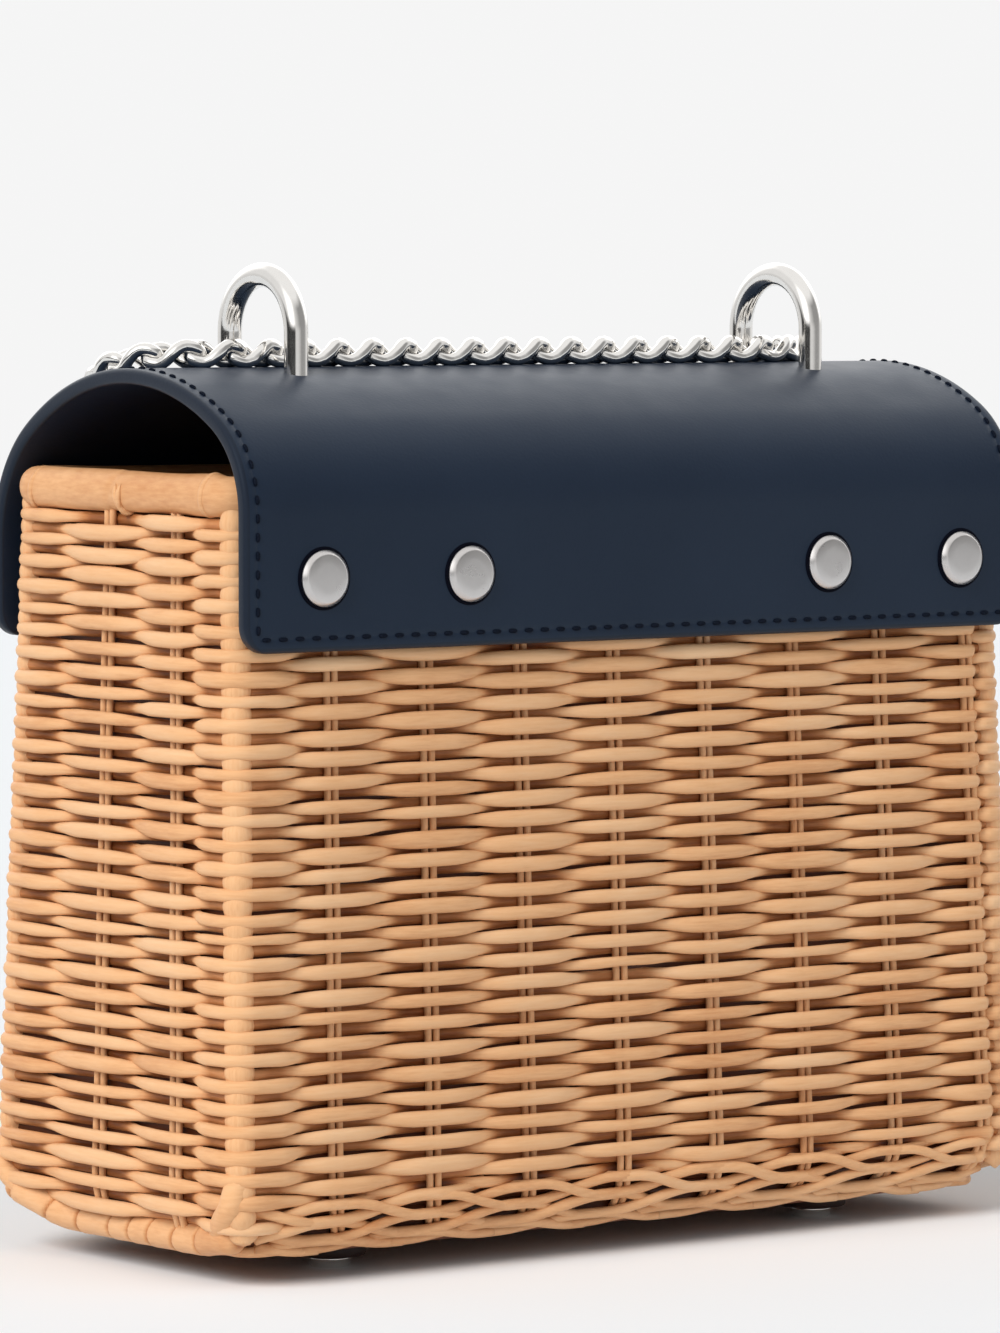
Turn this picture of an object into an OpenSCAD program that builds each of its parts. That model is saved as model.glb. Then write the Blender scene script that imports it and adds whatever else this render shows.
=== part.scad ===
// Wicker flap bag. A woven basket stands on four feet under a stiff leather cover.
// The cover is riveted to the back wall, arches over the rim and hangs down the front as a flap.
// Two bar loops on the lid carry a chain that lies along the top and drapes over the front.
// X is the length, +Y the riveted back, Z up, and the feet stand on Z = 0. Sizes are millimetres.

/* [Basket] */
// Length at the rim
basket_l = 217; // [195:1:240]
// Depth at the rim
basket_d = 85; // [75:1:95]
// Height from the underside to the top of the rim
basket_h = 169; // [140:1:190]
// Lean of each end, outwards at the base
flare_l = 3.5; // [0:0.5:4]
// Lean of each long wall, outwards at the base
flare_d = 7; // [3:0.5:8]
// Corner radius in plan
corner_r = 7; // [7:0.5:12]
// Thickness of the woven wall
wall_t = 4.5; // [3.5:0.5:5.5]
// Radius by which the walls turn under to the base
turn_r = 16; // [12:1:18]
// Height of the rim roll
rim_h = 8; // [6:0.5:8.5]
// Width of the rim roll
rim_w = 6.8; // [5.5:0.1:7.2]
// Height of the braided border at the base
border_h = 8; // [6:0.5:12]
// Width of the border on the underside
border_w = 6; // [4:0.5:6.5]
// Thickness of the base panel
base_t = 4; // [3:0.5:6]

/* [Weave] */
// Height of one woven row
row_h = 2.55; // [2.3:0.05:4]
// How far a rod stands out over one stake, and in behind the next
weave_depth = 0.9; // [0.4:0.1:1.2]
// Spacing of the stakes
stake_pitch = 25.5; // [21:0.5:30]
// How far the stakes sit off the middle of the length, towards -X
handwork_x = 8; // [0:0.5:9]
// How far the stakes of the ends sit off the middle of the depth, towards the back
handwork_y = 7.2; // [0:0.1:9]

/* [Leather cover] */
// How far the cover reaches past the rim at each end
cover_over = 0; // [0:0.5:3]
// Thickness of the leather
cover_t = 3.5; // [2:0.1:4.5]
// Height of the cover's lower edges below the top of the rim
cover_drop = 38; // [30:0.1:60]
// Radius of the cover's lower corners
cover_corner_r = 6; // [3:0.5:10]
// Gap between the hanging flap and the woven front
flap_gap = 2.4; // [2.2:0.1:8]
// Height of the fold at the back, below the top of the rim
back_fold_drop = 8.4; // [2:0.1:10]
// Height at which the front begins to curve, below the top of the rim
front_fold_drop = 16.8; // [8:0.1:20]
// Radius of the fold at the back
back_fold_r = 24.7; // [20:0.1:30]
// Radius of the fold at the front
front_fold_r = 32.7; // [26:0.1:36]
// Radius of the lid's crown
crown_r = 67; // [60:1:90]

/* [Rivets and closure] */
// Distance of the outer rivets from the cover's ends
rivet_end = 18.8; // [14:0.1:24]
// Spacing of the two rivets of a pair
rivet_pair = 39.1; // [20:0.1:60]
// Height of the rivets above the cover's lower edge
rivet_rise = 15.8; // [9:0.1:24]
// How far the rivets and loops sit off the middle of the length, towards -X
hardware_x = 1.6; // [0:0.1:6]
// Diameter of a rivet's head
rivet_head_d = 12.3; // [9:0.1:15]
// Height of a rivet's head
rivet_head_t = 1.7; // [1:0.1:2.5]
// Diameter of the shanks of rivets, magnets and feet
shank_d = 3.4; // [2.5:0.1:5]
// Diameter of the washers inside
washer_d = 10; // [8:0.5:14]
// Thickness of the washers inside
washer_t = 1; // [0.6:0.1:2]
// Diameter of the closing magnets
magnet_d = 14; // [10:0.5:18]
// Thickness of the magnet on the basket
basket_magnet_t = 1; // [0.8:0.1:2]
// Height of the magnets above the cover's lower edge
magnet_rise = 15; // [10:0.5:24]

/* [Strap loops] */
// Distance of the two loops from the lid's ends
loop_end = 35.6; // [30:0.1:45]
// Diameter of a loop's bar
bar_d = 5.4; // [4:0.1:7]
// Spacing of a loop's legs, middle to middle
leg_pitch = 25.5; // [20:0.5:32]
// Height of a loop above the crown
loop_h = 23; // [18:0.1:30]
// Length of a backing plate across the bag
plate_l = 40; // [36:0.5:44]
// Width of a backing plate
plate_w = 11; // [9:0.5:16]
// Thickness of a backing plate
plate_t = 1.5; // [1:0.1:2.5]
// Width of a nut across its flats
nut_w = 8; // [7.5:0.1:11]
// Height of a nut
nut_t = 3.2; // [2:0.1:5]

/* [Chain] */
// Diameter of the wire of a link
wire_d = 2.2; // [1.8:0.1:2.3]
// Radius of the bend at the end of a link, to the middle of its wire
link_r = 2.9; // [2.8:0.1:3.1]
// Length of one link's step along the chain
link_pitch = 9.4; // [8.8:0.1:11]
// How far the chain runs on past the loop at +X
tail_front = 26; // [25:1:30]
// How far the chain runs on past the loop at -X
tail_back = 16; // [14:1:20]
// How far the chain hangs over the front, measured along the leather from the crown
chain_drop = 56; // [54:1:62]
// Radius by which the chain turns to the front beyond each loop
chain_turn = 20; // [19:0.5:22]

/* [Feet] */
// Distance of the feet from the ends of the basket
foot_end = 40; // [25:0.5:50]
// Distance of the feet from the long sides of the basket
foot_side = 19.5; // [14:0.5:24]
// Diameter of a foot's leather disc
disc_d = 16; // [12:0.5:20]
// Thickness of a foot's leather disc
disc_t = 3.5; // [2:0.1:5]
// Diameter of a foot's stud
stud_d = 10; // [7:0.5:11]
// Height of a foot's stud
stud_t = 2.5; // [1.5:0.1:4]

/* [Fits] */
// Gap between pieces that seat on each other
fit = 0.15; // [0.1:0.05:0.25]
// Play of a shank or a leg in its hole, on the diameter
hole_play = 0.4; // [0.2:0.1:0.6]
// Slack of one link in the next
link_slack = 0.3; // [0.2:0.05:0.4]

/* [Hidden] */
$fn = 64;

// Heights
base_z = disc_t + stud_t;
rim_z = base_z + basket_h;
wall_z0 = base_z + border_h;
wall_z1 = rim_z - rim_h;
cover_z = rim_z - cover_drop;
rivet_z = cover_z + rivet_rise;
magnet_z = cover_z + magnet_rise;

// Plan of the basket: every point of a ring is a point of this core rectangle, pushed out by the radius
core_l = basket_l / 2 - corner_r;
core_d = basket_d / 2 - corner_r;
foot_x = basket_l / 2 - foot_end;
foot_y = basket_d / 2 - foot_side;
cover_l = basket_l + 2 * cover_over;

// The walls lean out all the way down and turn under on an arc of this angle at the base
turn_angle = 65;
turn_z = base_z + turn_r * sin(turn_angle);

function lean(z) = (rim_z - z) / basket_h;
function tuck(z) = z < turn_z ? turn_r - sqrt(pow(turn_r, 2) - pow(turn_z - z, 2)) : 0;
function wall_y(z) = basket_d / 2 + flare_d * lean(z) - tuck(z);
function inner_y(z) = lookup(z, [[wall_z0, wall_y(wall_z0) - wall_t], [wall_z1, wall_y(wall_z1) - wall_t]]);
function ring_point(st, z, out) = [
    st[0] * (1 + (flare_l * lean(z) - tuck(z)) / core_l) + (corner_r + out) * cos(st[2]),
    st[1] * (1 + (flare_d * lean(z) - tuck(z)) / core_d) + (corner_r + out) * sin(st[2]),
    z];

// A ring's triangles: m points of a closed section at each of n stations. The last station joins the first
// with its section turned by a number of points
function ring_faces(n, m, turned) = [for (i = [0:n - 1], j = [0:m - 1])
    let (
        next = (i + 1) % n,
        skip = next == 0 ? turned : 0,
        a = i * m + j,
        b = next * m + (j + skip) % m,
        c = next * m + (j + 1 + skip) % m,
        d = i * m + (j + 1) % m
    )
    each [[a, c, b], [a, d, c]]];

// Stations of the weave: three at each corner post, one at each stake where a rod lies over or behind it,
// and one half way between stakes, where it passes through the wall
end_bay = 0.15 * stake_pitch;
n_long = 1 + floor((2 * core_l - 2 * handwork_x - 2 * end_bay) / stake_pitch);
n_end = 1 + floor((2 * core_d - 2 * handwork_y - 2 * end_bay) / stake_pitch);
stake_x = [for (i = [0:n_long - 1]) ((n_long - 1) / 2 - i) * stake_pitch - handwork_x];
stake_y = [for (i = [0:n_end - 1]) ((n_end - 1) / 2 - i) * stake_pitch + handwork_y];

function corner_run(sx, sy, a, s) = [for (k = [0:2]) [sx * core_l, sy * core_d, a + 45 * k, s]];
stake_stations = concat(
    corner_run(1, 1, 0, 0),
    [for (i = [0:n_long - 1]) [stake_x[i], core_d, 90, 1 + i]],
    corner_run(-1, 1, 90, n_long + 1),
    [for (i = [0:n_end - 1]) [-core_l, stake_y[i], 180, n_long + i]],
    corner_run(-1, -1, 180, n_long + n_end),
    [for (i = [n_long - 1:-1:0]) [stake_x[i], -core_d, 270, n_end + i]],
    corner_run(1, -1, 270, n_end + 1),
    [for (i = [n_end - 1:-1:0]) [core_l, stake_y[i], 360, 1 + i]]);
n_stations = len(stake_stations);
between = -1;
weave_stations = [for (i = [0:n_stations - 1])
    let (a = stake_stations[i], b = stake_stations[(i + 1) % n_stations])
    each concat([a], a[3] == b[3] ? [] : [[(a[0] + b[0]) / 2, (a[1] + b[1]) / 2, a[2], between]])];

// Rows of the weave, fitted to the height between the border and the rim
rows = round((wall_z1 - wall_z0) / row_h);
row_step = (wall_z1 - wall_z0) / rows;
function weave_out(s, k) =
    s == between || k == 0 || k == rows ? 0
    : weave_depth * ((s + k) % 2 == 0 ? 1 : -1);

// Stations of the plain rings: the corners, in even steps
corner_steps = 3;
roll_stations = [for (q = [0:3], k = [0:corner_steps])
    let (a = 90 * (q + k / corner_steps), sx = q == 0 || q == 3 ? 1 : -1, sy = q < 2 ? 1 : -1)
    [sx * core_l, sy * core_d, a]];
n_roll = len(roll_stations);

// Section of the rim roll: an oval roll with a flat underside that lies on the wall
roll_flat = 55;
roll_sides = 7;
roll_r = rim_h / (1 + sin(roll_flat));
roll_out = weave_depth - rim_w / 2;
roll_z = wall_z1 + roll_r * sin(roll_flat);

// Section of the border: this many levels outside, and a plain face inside
border_levels = 5;
border_step = border_h / (border_levels - 1);

// Faces of the leather
crest_y = basket_d / 2 + flare_d * lean(cover_z) + weave_depth;
back_in = crest_y + fit;
back_out = back_in + cover_t;
front_in = crest_y + flap_gap;
front_out = front_in + cover_t;

// Profile of the lid: two folds and a crown that is tangent to both
back_fold_z = rim_z - back_fold_drop;
front_fold_z = rim_z - front_fold_drop;
back_fold_c = [back_out - back_fold_r, back_fold_z];
front_fold_c = [front_fold_r - front_out, front_fold_z];
fold_gap = norm(front_fold_c - back_fold_c);
fold_dir = (front_fold_c - back_fold_c) / fold_gap;
to_foot = (pow(crown_r - back_fold_r, 2) - pow(crown_r - front_fold_r, 2) + pow(fold_gap, 2))
    / (2 * fold_gap);
foot_to_c = sqrt(pow(crown_r - back_fold_r, 2) - pow(to_foot, 2));
crown_c = back_fold_c + to_foot * fold_dir + foot_to_c * [-fold_dir[1], fold_dir[0]];
crown_z = crown_c[1] + crown_r;
back_ray = (back_fold_c - crown_c) / norm(back_fold_c - crown_c);
front_ray = (front_fold_c - crown_c) / norm(front_fold_c - crown_c);
front_ray_angle = atan2(-front_ray[0], front_ray[1]);

// The spread end of a rivet's or stud's shank
spread_d = 1.6 * shank_d;
spread_t = 0.8;

// Places of the hardware
rivet_x = [for (s = [1, -1], k = [0, 1]) s * (cover_l / 2 - rivet_end - k * rivet_pair) - hardware_x];
loop_left_x = cover_l / 2 - loop_end - hardware_x;
loop_right_x = loop_end - cover_l / 2 - hardware_x;
loop_y = crown_c[0];
wall_in_rivet = inner_y(rivet_z + washer_d / 2);
wall_in_magnet = inner_y(magnet_z + washer_d / 2);
flap_magnet_t = flap_gap - (wall_y(magnet_z) - wall_y(cover_z)) - 2 * fit - basket_magnet_t;
plate_out_r = crown_r - cover_t - fit;
plate_in_r = plate_out_r - plate_t;
nut_d = nut_w / cos(30);
nut_z = crown_c[1] + sqrt(pow(plate_in_r, 2) - pow((leg_pitch + nut_d) / 2, 2)) - fit;

// A link lies in two planes, a quarter turn apart: each end is bent in its own, and the sides swing over.
// Points of a bend: distance along the link, reach across it as a share of the radius, and turn of the wire
link_twist = 45;
link_tip = (link_pitch + link_slack + wire_d) / 2;
link_shoulder = link_tip - 0.75 * link_r;
link_bends = [[link_shoulder, -1, -90], [link_tip, -0.5, -45], [link_tip, 0.5, 45], [link_shoulder, 1, 90]];
wire_sides = 6;
link_lift = link_r * sin(link_twist) + wire_d / 2 + fit;

// The chain's route on the unrolled leather: distance along X, and down the front from the crown
drape_l = loop_left_x + tail_front;
drape_r = loop_right_x - tail_back;
drape_mid = (drape_l + drape_r) / 2;
drape_w = drape_l - drape_r;
turn_in = chain_turn * (1 - cos(45));
swag = [[0.44, 0.68], [0.22, 0.92], [0, 1], [-0.22, 0.92], [-0.44, 0.68]];
chain_route = concat(
    [[drape_r + chain_turn, 0], [drape_r + 2 * chain_turn, 0], [drape_mid, 0]],
    [[drape_l - 2 * chain_turn, 0], [drape_l - chain_turn, 0]],
    [[drape_l - turn_in, turn_in], [drape_l, chain_turn]],
    [for (q = swag) [drape_mid + q[0] * drape_w, q[1] * chain_drop]],
    [[drape_r, chain_turn], [drape_r + turn_in, turn_in]]);
n_route = len(chain_route);

// A smooth closed curve through the route's points
function curve_at(u) =
    let (
        i = floor(u),
        f = u - i,
        p0 = chain_route[(i + n_route - 1) % n_route],
        p1 = chain_route[i % n_route],
        p2 = chain_route[(i + 1) % n_route],
        p3 = chain_route[(i + 2) % n_route]
    )
    p1 + (p2 - p0) * f / 2 + (2 * p0 - 5 * p1 + 4 * p2 - p3) * f * f / 2
        + (3 * p1 - p0 - 3 * p2 + p3) * pow(f, 3) / 2;

// The leather's outer face at a distance down the front: the angle it has turned through, and its point
crown_run = crown_r * front_ray_angle * PI / 180;
fold_run = front_fold_r * (90 - front_ray_angle) * PI / 180;
function face_angle(s) =
    s < crown_run ? s / crown_r * 180 / PI
    : s < crown_run + fold_run ? front_ray_angle + (s - crown_run) / front_fold_r * 180 / PI
    : 90;
function face_point(s) =
    let (a = face_angle(s), up = [-sin(a), cos(a)])
    s < crown_run ? crown_c + (crown_r + link_lift) * up
    : s < crown_run + fold_run ? front_fold_c + (front_fold_r + link_lift) * up
    : [-front_out - link_lift, front_fold_z - (s - crown_run - fold_run)];
function chain_point(u) =
    let (q = curve_at(u), p = face_point(q[1]))
    [q[0], p[0], p[1]];

// Even steps along the route
part_steps = 24;
route_steps = part_steps * n_route;
function route_step(i) = norm(chain_point((i + 1) / part_steps) - chain_point(i / part_steps));
route_lengths = [
    for (i = 0, run = 0; i <= route_steps; run = run + route_step(i), i = i + 1)
    [run, i / part_steps]];
chain_l = route_lengths[route_steps][0];
n_links = 2 * round(chain_l / link_pitch / 2);
function chain_joint(k) = chain_point(lookup((k % n_links) * chain_l / n_links, route_lengths));

// Colours
cane = "burlywood";
navy = "midnightblue";
nickel = "silver";
foot_brown = "saddlebrown";

module ring(points, n, m, turned = 0) {
    polyhedron(points, ring_faces(n, m, turned), convexity = 10);
}

// A hole or shank along Y, from y0 to y1
module along_y(x, y0, y1, z, d) {
    translate([x, y0, z])
        rotate([-90, 0, 0])
            cylinder(d = d, h = y1 - y0);
}

module woven_walls() {
    points = [for (st = weave_stations) each concat(
        [for (k = [0:rows]) ring_point(st, wall_z0 + k * row_step, weave_out(st[3], k))],
        [ring_point(st, wall_z1, -wall_t), ring_point(st, wall_z0, -wall_t)])];
    color(cane)
        difference() {
            ring(points, len(weave_stations), rows + 3);
            for (x = rivet_x)
                along_y(x, 0, back_out, rivet_z, shank_d + hole_play);
            along_y(0, -front_out, 0, magnet_z, shank_d + hole_play);
        }
}

module rim_roll() {
    points = [for (st = roll_stations, j = [0:roll_sides - 1])
        let (a = -roll_flat + (180 + 2 * roll_flat) * j / (roll_sides - 1))
        ring_point(st, roll_z + roll_r * sin(a), roll_out + rim_w / 2 * cos(a))];
    color(cane)
        ring(points, n_roll, roll_sides);
}

module base_border() {
    points = [for (st = roll_stations)
        let (inner = ring_point(st, base_z, -border_w))
        each concat(
            [for (j = [0:border_levels - 1]) ring_point(st, base_z + j * border_step, 0)],
            [[inner[0], inner[1], wall_z0], inner])];
    color(cane)
        ring(points, n_roll, border_levels + 2);
}

module base_panel() {
    outline = [for (st = roll_stations)
        let (p = ring_point(st, base_z, -border_w - fit))
        [p[0], p[1]]];
    color(cane)
        translate([0, 0, base_z])
            difference() {
                linear_extrude(base_t)
                    polygon(outline);
                at_feet()
                    cylinder(d = shank_d + hole_play, h = 3 * base_t, center = true);
            }
}

module at_feet() {
    for (sx = [-1, 1], sy = [-1, 1])
        translate([sx * foot_x, sy * foot_y, 0])
            children();
}

module foot_discs() {
    color(foot_brown)
        at_feet()
            translate([0, 0, stud_t])
                difference() {
                    cylinder(d = disc_d, h = disc_t);
                    cylinder(d = shank_d + hole_play, h = 3 * disc_t, center = true);
                }
}

// A stud with a bevelled foot, its shank, and the end that is spread inside the basket
module foot_studs() {
    tip_d = 0.86 * stud_d;
    color(nickel)
        at_feet() {
            cylinder(d1 = tip_d, d2 = stud_d, h = stud_t);
            cylinder(d = shank_d, h = base_z + base_t + fit + spread_t);
            translate([0, 0, base_z + base_t + fit])
                cylinder(d = spread_d, h = spread_t);
        }
}

// The cover seen from behind or in front: a sheet from z0 up to z1, its lower corners rounded
module cover_sheet(z0, z1) {
    r = cover_corner_r;
    translate([-cover_l / 2, z0 + r])
        square([cover_l, z1 - z0 - r]);
    translate([r - cover_l / 2, z0])
        square([cover_l - 2 * r, r]);
    for (s = [-1, 1])
        translate([s * (cover_l / 2 - r), z0 + r])
            circle(r);
}

module back_panel() {
    color(navy)
        difference() {
            translate([0, back_out, 0])
                rotate([90, 0, 0])
                    linear_extrude(cover_t)
                        cover_sheet(cover_z, back_fold_z);
            for (x = rivet_x)
                along_y(x, 0, 2 * back_out, rivet_z, shank_d + hole_play);
        }
}

// A rivet's bevelled flat head and its shank, which ends in a spread end behind the washer
module back_rivets() {
    bevel_t = 0.55 * rivet_head_t;
    end_y = wall_in_rivet - 2 * fit - washer_t;
    color(nickel)
        for (x = rivet_x) {
            along_y(x, back_out, back_out + rivet_head_t - bevel_t, rivet_z, rivet_head_d);
            translate([x, back_out + rivet_head_t - bevel_t, rivet_z])
                rotate([-90, 0, 0])
                    cylinder(d1 = rivet_head_d, d2 = rivet_head_d - 2 * bevel_t, h = bevel_t);
            along_y(x, end_y - spread_t, back_out + rivet_head_t / 2, rivet_z, shank_d);
            along_y(x, end_y - spread_t, end_y, rivet_z, spread_d);
        }
}

module washer_along_y(x, y0, z) {
    difference() {
        along_y(x, y0, y0 + washer_t, z, washer_d);
        along_y(x, y0 - washer_t, y0 + 2 * washer_t, z, shank_d + hole_play);
    }
}

// The wall leans, so a washer lies on the inner face at its upper edge
module rivet_washers() {
    seat = wall_in_rivet - fit - washer_t;
    color(nickel)
        for (x = rivet_x)
            washer_along_y(x, seat, rivet_z);
}

module basket_magnet() {
    face_y = wall_y(magnet_z) + weave_depth + fit;
    end_y = wall_in_magnet - 2 * fit - washer_t;
    color(nickel) {
        along_y(0, -face_y - basket_magnet_t, -face_y, magnet_z, magnet_d);
        along_y(0, -face_y - basket_magnet_t / 2, -end_y + spread_t, magnet_z, shank_d);
        along_y(0, -end_y, -end_y + spread_t, magnet_z, spread_d);
    }
}

module magnet_washer() {
    color(nickel)
        washer_along_y(0, fit - wall_in_magnet, magnet_z);
}

module flap_magnet() {
    color(nickel)
        along_y(0, -front_in, -front_in + flap_magnet_t, magnet_z, magnet_d);
}

// The filled shape under the lid's outer face, with every face moved in by a depth
module lid_fill(depth) {
    far = 2 * crown_r;
    polygon([
        [depth - front_out, cover_z],
        [back_out - depth, cover_z],
        [back_out - depth, back_fold_z],
        back_fold_c,
        front_fold_c,
        [depth - front_out, front_fold_z]]);
    translate(back_fold_c)
        circle(back_fold_r - depth);
    translate(front_fold_c)
        circle(front_fold_r - depth);
    intersection() {
        translate(crown_c)
            circle(crown_r - depth);
        polygon([crown_c, crown_c + far * back_ray, crown_c + far * front_ray]);
    }
}

module flap() {
    r = cover_corner_r;
    color(navy)
        difference() {
            translate([-cover_l / 2, 0, 0])
                rotate([90, 0, 90])
                    linear_extrude(cover_l)
                        difference() {
                            lid_fill(0);
                            lid_fill(cover_t);
                            translate([0, cover_z])
                                square([2 * back_out, back_fold_z - cover_z]);
                            translate([-2 * front_out, cover_z - crown_r])
                                square([4 * front_out, crown_r]);
                        }
            for (s = [-1, 1])
                translate([s * cover_l / 2, 0, cover_z])
                    rotate([90, 0, 0])
                        linear_extrude(2 * front_out)
                            difference() {
                                square(2 * r, center = true);
                                translate([-s * r, r])
                                    circle(r);
                            }
            at_legs()
                cylinder(d = bar_d + hole_play, h = 2 * crown_z);
        }
}

module at_legs() {
    for (x = [loop_left_x, loop_right_x], s = [-1, 1])
        translate([x, loop_y + s * leg_pitch / 2, 0])
            children();
}

// One bar bent over at the top, its legs going down through the leather, the plate and the nuts
module strap_loop(x) {
    arch_z = crown_z + loop_h - (leg_pitch + bar_d) / 2;
    leg_z = nut_z - nut_t;
    color(nickel)
        translate([x, loop_y, 0]) {
            translate([0, 0, arch_z])
                rotate([90, 0, 90])
                    rotate_extrude(angle = 180)
                        translate([leg_pitch / 2, 0])
                            circle(d = bar_d);
            for (s = [-1, 1])
                translate([0, s * leg_pitch / 2, leg_z])
                    cylinder(d = bar_d, h = arch_z - leg_z);
        }
}

module strap_loop_left() {
    strap_loop(loop_left_x);
}

module strap_loop_right() {
    strap_loop(loop_right_x);
}

// Plates bent to the inside of the crown, under the leather
module loop_plates() {
    color(nickel)
        difference() {
            for (x = [loop_left_x, loop_right_x])
                translate([x - plate_w / 2, 0, 0])
                    rotate([90, 0, 90])
                        linear_extrude(plate_w)
                            intersection() {
                                translate(crown_c)
                                    difference() {
                                        circle(plate_out_r);
                                        circle(plate_in_r);
                                    }
                                translate([loop_y - plate_l / 2, crown_c[1]])
                                    square([plate_l, crown_r]);
                            }
            at_legs()
                cylinder(d = bar_d + hole_play, h = 2 * crown_z);
        }
}

module loop_nuts() {
    color(nickel)
        at_legs()
            translate([0, 0, nut_z - nut_t])
                difference() {
                    cylinder(d = nut_d, h = nut_t, $fn = 6);
                    cylinder(d = bar_d + fit, h = 3 * nut_t, center = true);
                }
}

// A twisted link along X
module chain_link() {
    points = [for (e = [1, -1], b = link_bends, k = [0:wire_sides - 1])
        let (
            across = [0, cos(link_twist), -e * sin(link_twist)],
            through = [0, e * sin(link_twist), cos(link_twist)],
            out = e * ([cos(b[2]), 0, 0] + sin(b[2]) * across),
            t = 360 * k / wire_sides + (e > 0 ? 0 : -2 * link_twist)
        )
        [e * b[0], 0, 0] + e * b[1] * link_r * across + wire_d / 2 * (cos(t) * out + sin(t) * through)];
    ring(points, 2 * len(link_bends), wire_sides, wire_sides / 2);
}

module chain() {
    color(nickel)
        for (k = [0:n_links - 1]) {
            p0 = chain_joint(k);
            p1 = chain_joint(k + 1);
            along = (p1 - p0) / norm(p1 - p0);
            a = face_angle(curve_at(lookup((k + 0.5) * chain_l / n_links, route_lengths))[1]);
            up = [0, -sin(a), cos(a)];
            side = cross(up, along) / norm(cross(up, along));
            top = cross(along, side);
            mid = (p0 + p1) / 2;
            multmatrix([
                [along[0], side[0], top[0], mid[0]],
                [along[1], side[1], top[1], mid[1]],
                [along[2], side[2], top[2], mid[2]],
                [0, 0, 0, 1]])
                chain_link();
        }
}

woven_walls();
rim_roll();
base_border();
base_panel();
back_panel();
back_rivets();
rivet_washers();
foot_discs();
foot_studs();
basket_magnet();
magnet_washer();
flap();
strap_loop_left();
strap_loop_right();
loop_plates();
loop_nuts();
chain();
flap_magnet();
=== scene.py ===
import math

import bpy
import numpy as np
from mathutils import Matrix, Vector


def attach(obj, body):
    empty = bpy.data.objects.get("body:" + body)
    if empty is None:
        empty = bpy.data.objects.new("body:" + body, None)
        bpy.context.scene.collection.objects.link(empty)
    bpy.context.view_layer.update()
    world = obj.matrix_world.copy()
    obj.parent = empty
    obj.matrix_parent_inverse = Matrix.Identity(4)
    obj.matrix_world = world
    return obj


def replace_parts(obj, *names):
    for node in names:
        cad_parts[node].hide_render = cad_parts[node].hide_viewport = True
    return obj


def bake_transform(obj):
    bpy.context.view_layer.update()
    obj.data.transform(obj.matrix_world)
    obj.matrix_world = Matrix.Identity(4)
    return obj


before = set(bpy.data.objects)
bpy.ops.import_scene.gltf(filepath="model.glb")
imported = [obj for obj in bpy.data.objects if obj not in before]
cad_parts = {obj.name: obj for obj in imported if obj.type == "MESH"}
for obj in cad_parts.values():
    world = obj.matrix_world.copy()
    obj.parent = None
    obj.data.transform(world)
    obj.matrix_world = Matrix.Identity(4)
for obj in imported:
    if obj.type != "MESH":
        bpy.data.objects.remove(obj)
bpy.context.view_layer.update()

MM = 0.001
rng = np.random.default_rng(11)

# Sizes of the basket in millimetres, as in the CAD source
BASKET_L, BASKET_D, BASKET_H = 217.0, 85.0, 169.0
FLARE_L, FLARE_D = 3.5, 7.0
CORNER_R, TURN_R, TURN_ANGLE = 7.0, 16.0, 65.0
RIM_H, RIM_W, ROLL_FLAT, BORDER_H = 8.0, 6.8, 55.0, 8.0
STAKE_PITCH, LONG_STAKES, END_STAKES = 25.5, 8, 2
STAKES_OFF_X, STAKES_OFF_Y = 8.0, 7.2
WEAVE_DEPTH, FIT = 0.9, 0.15
BASE_Z = 6.0
RIM_Z = BASE_Z + BASKET_H
WALL_Z0, WALL_Z1 = BASE_Z + BORDER_H, RIM_Z - RIM_H
CORE_L, CORE_D = BASKET_L / 2 - CORNER_R, BASKET_D / 2 - CORNER_R
TURN_Z = BASE_Z + TURN_R * math.sin(math.radians(TURN_ANGLE))
ROWS = 60
ROW_STEP = (WALL_Z1 - WALL_Z0) / ROWS

# Sizes of the cover
COVER_L, COVER_T, COVER_CORNER, COVER_DROP, FLAP_GAP = 217.0, 3.5, 6.0, 38.0, 2.4
BACK_R, FRONT_R, CROWN_R = 24.7, 32.7, 67.0
BACK_FOLD_DROP, FRONT_FOLD_DROP = 8.4, 16.8
COVER_Z = RIM_Z - COVER_DROP
CREST_Y = BASKET_D / 2 + FLARE_D * COVER_DROP / BASKET_H + WEAVE_DEPTH
BACK_OUT, FRONT_OUT = CREST_Y + FIT + COVER_T, CREST_Y + FLAP_GAP + COVER_T
BACK_FOLD_Z, FRONT_FOLD_Z = RIM_Z - BACK_FOLD_DROP, RIM_Z - FRONT_FOLD_DROP

# Sizes of the hardware
HARDWARE_X = 1.6
RIVET_INSET, RIVET_PITCH, RIVET_RISE = 18.8, 39.1, 15.8
RIVET_X = [s * (COVER_L / 2 - RIVET_INSET - k * RIVET_PITCH) - HARDWARE_X for s in (1, -1) for k in (0, 1)]
RIVET_Z = COVER_Z + RIVET_RISE
LOOP_INSET, LEG_PITCH, BAR_D, LOOP_H = 35.6, 25.5, 5.4, 23.0
LOOP_X = [s * (COVER_L / 2 - LOOP_INSET) - HARDWARE_X for s in (1, -1)]
NUT_ACROSS, NUT_T, PLATE_T = 8.0, 3.2, 1.5
NUT_D = NUT_ACROSS / math.cos(math.pi / 6)
LINK_R, LINK_PITCH, WIRE_D, LINK_SLACK = 2.9, 9.4, 2.2, 0.3
FOOT_X, FOOT_Y, DISC_T, STUD_T = 68.5, 23.0, 3.5, 2.5


# Meshes

THIN_END = 0.3


def smooth(f):
    """Eases from 0 to 1, and stays level before and after."""
    f = np.clip(f, 0, 1)
    return f * f * (3 - 2 * f)


def around(sides):
    """Angles in equal steps around a circle."""
    return np.arange(sides) * 2 * np.pi / sides


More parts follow.
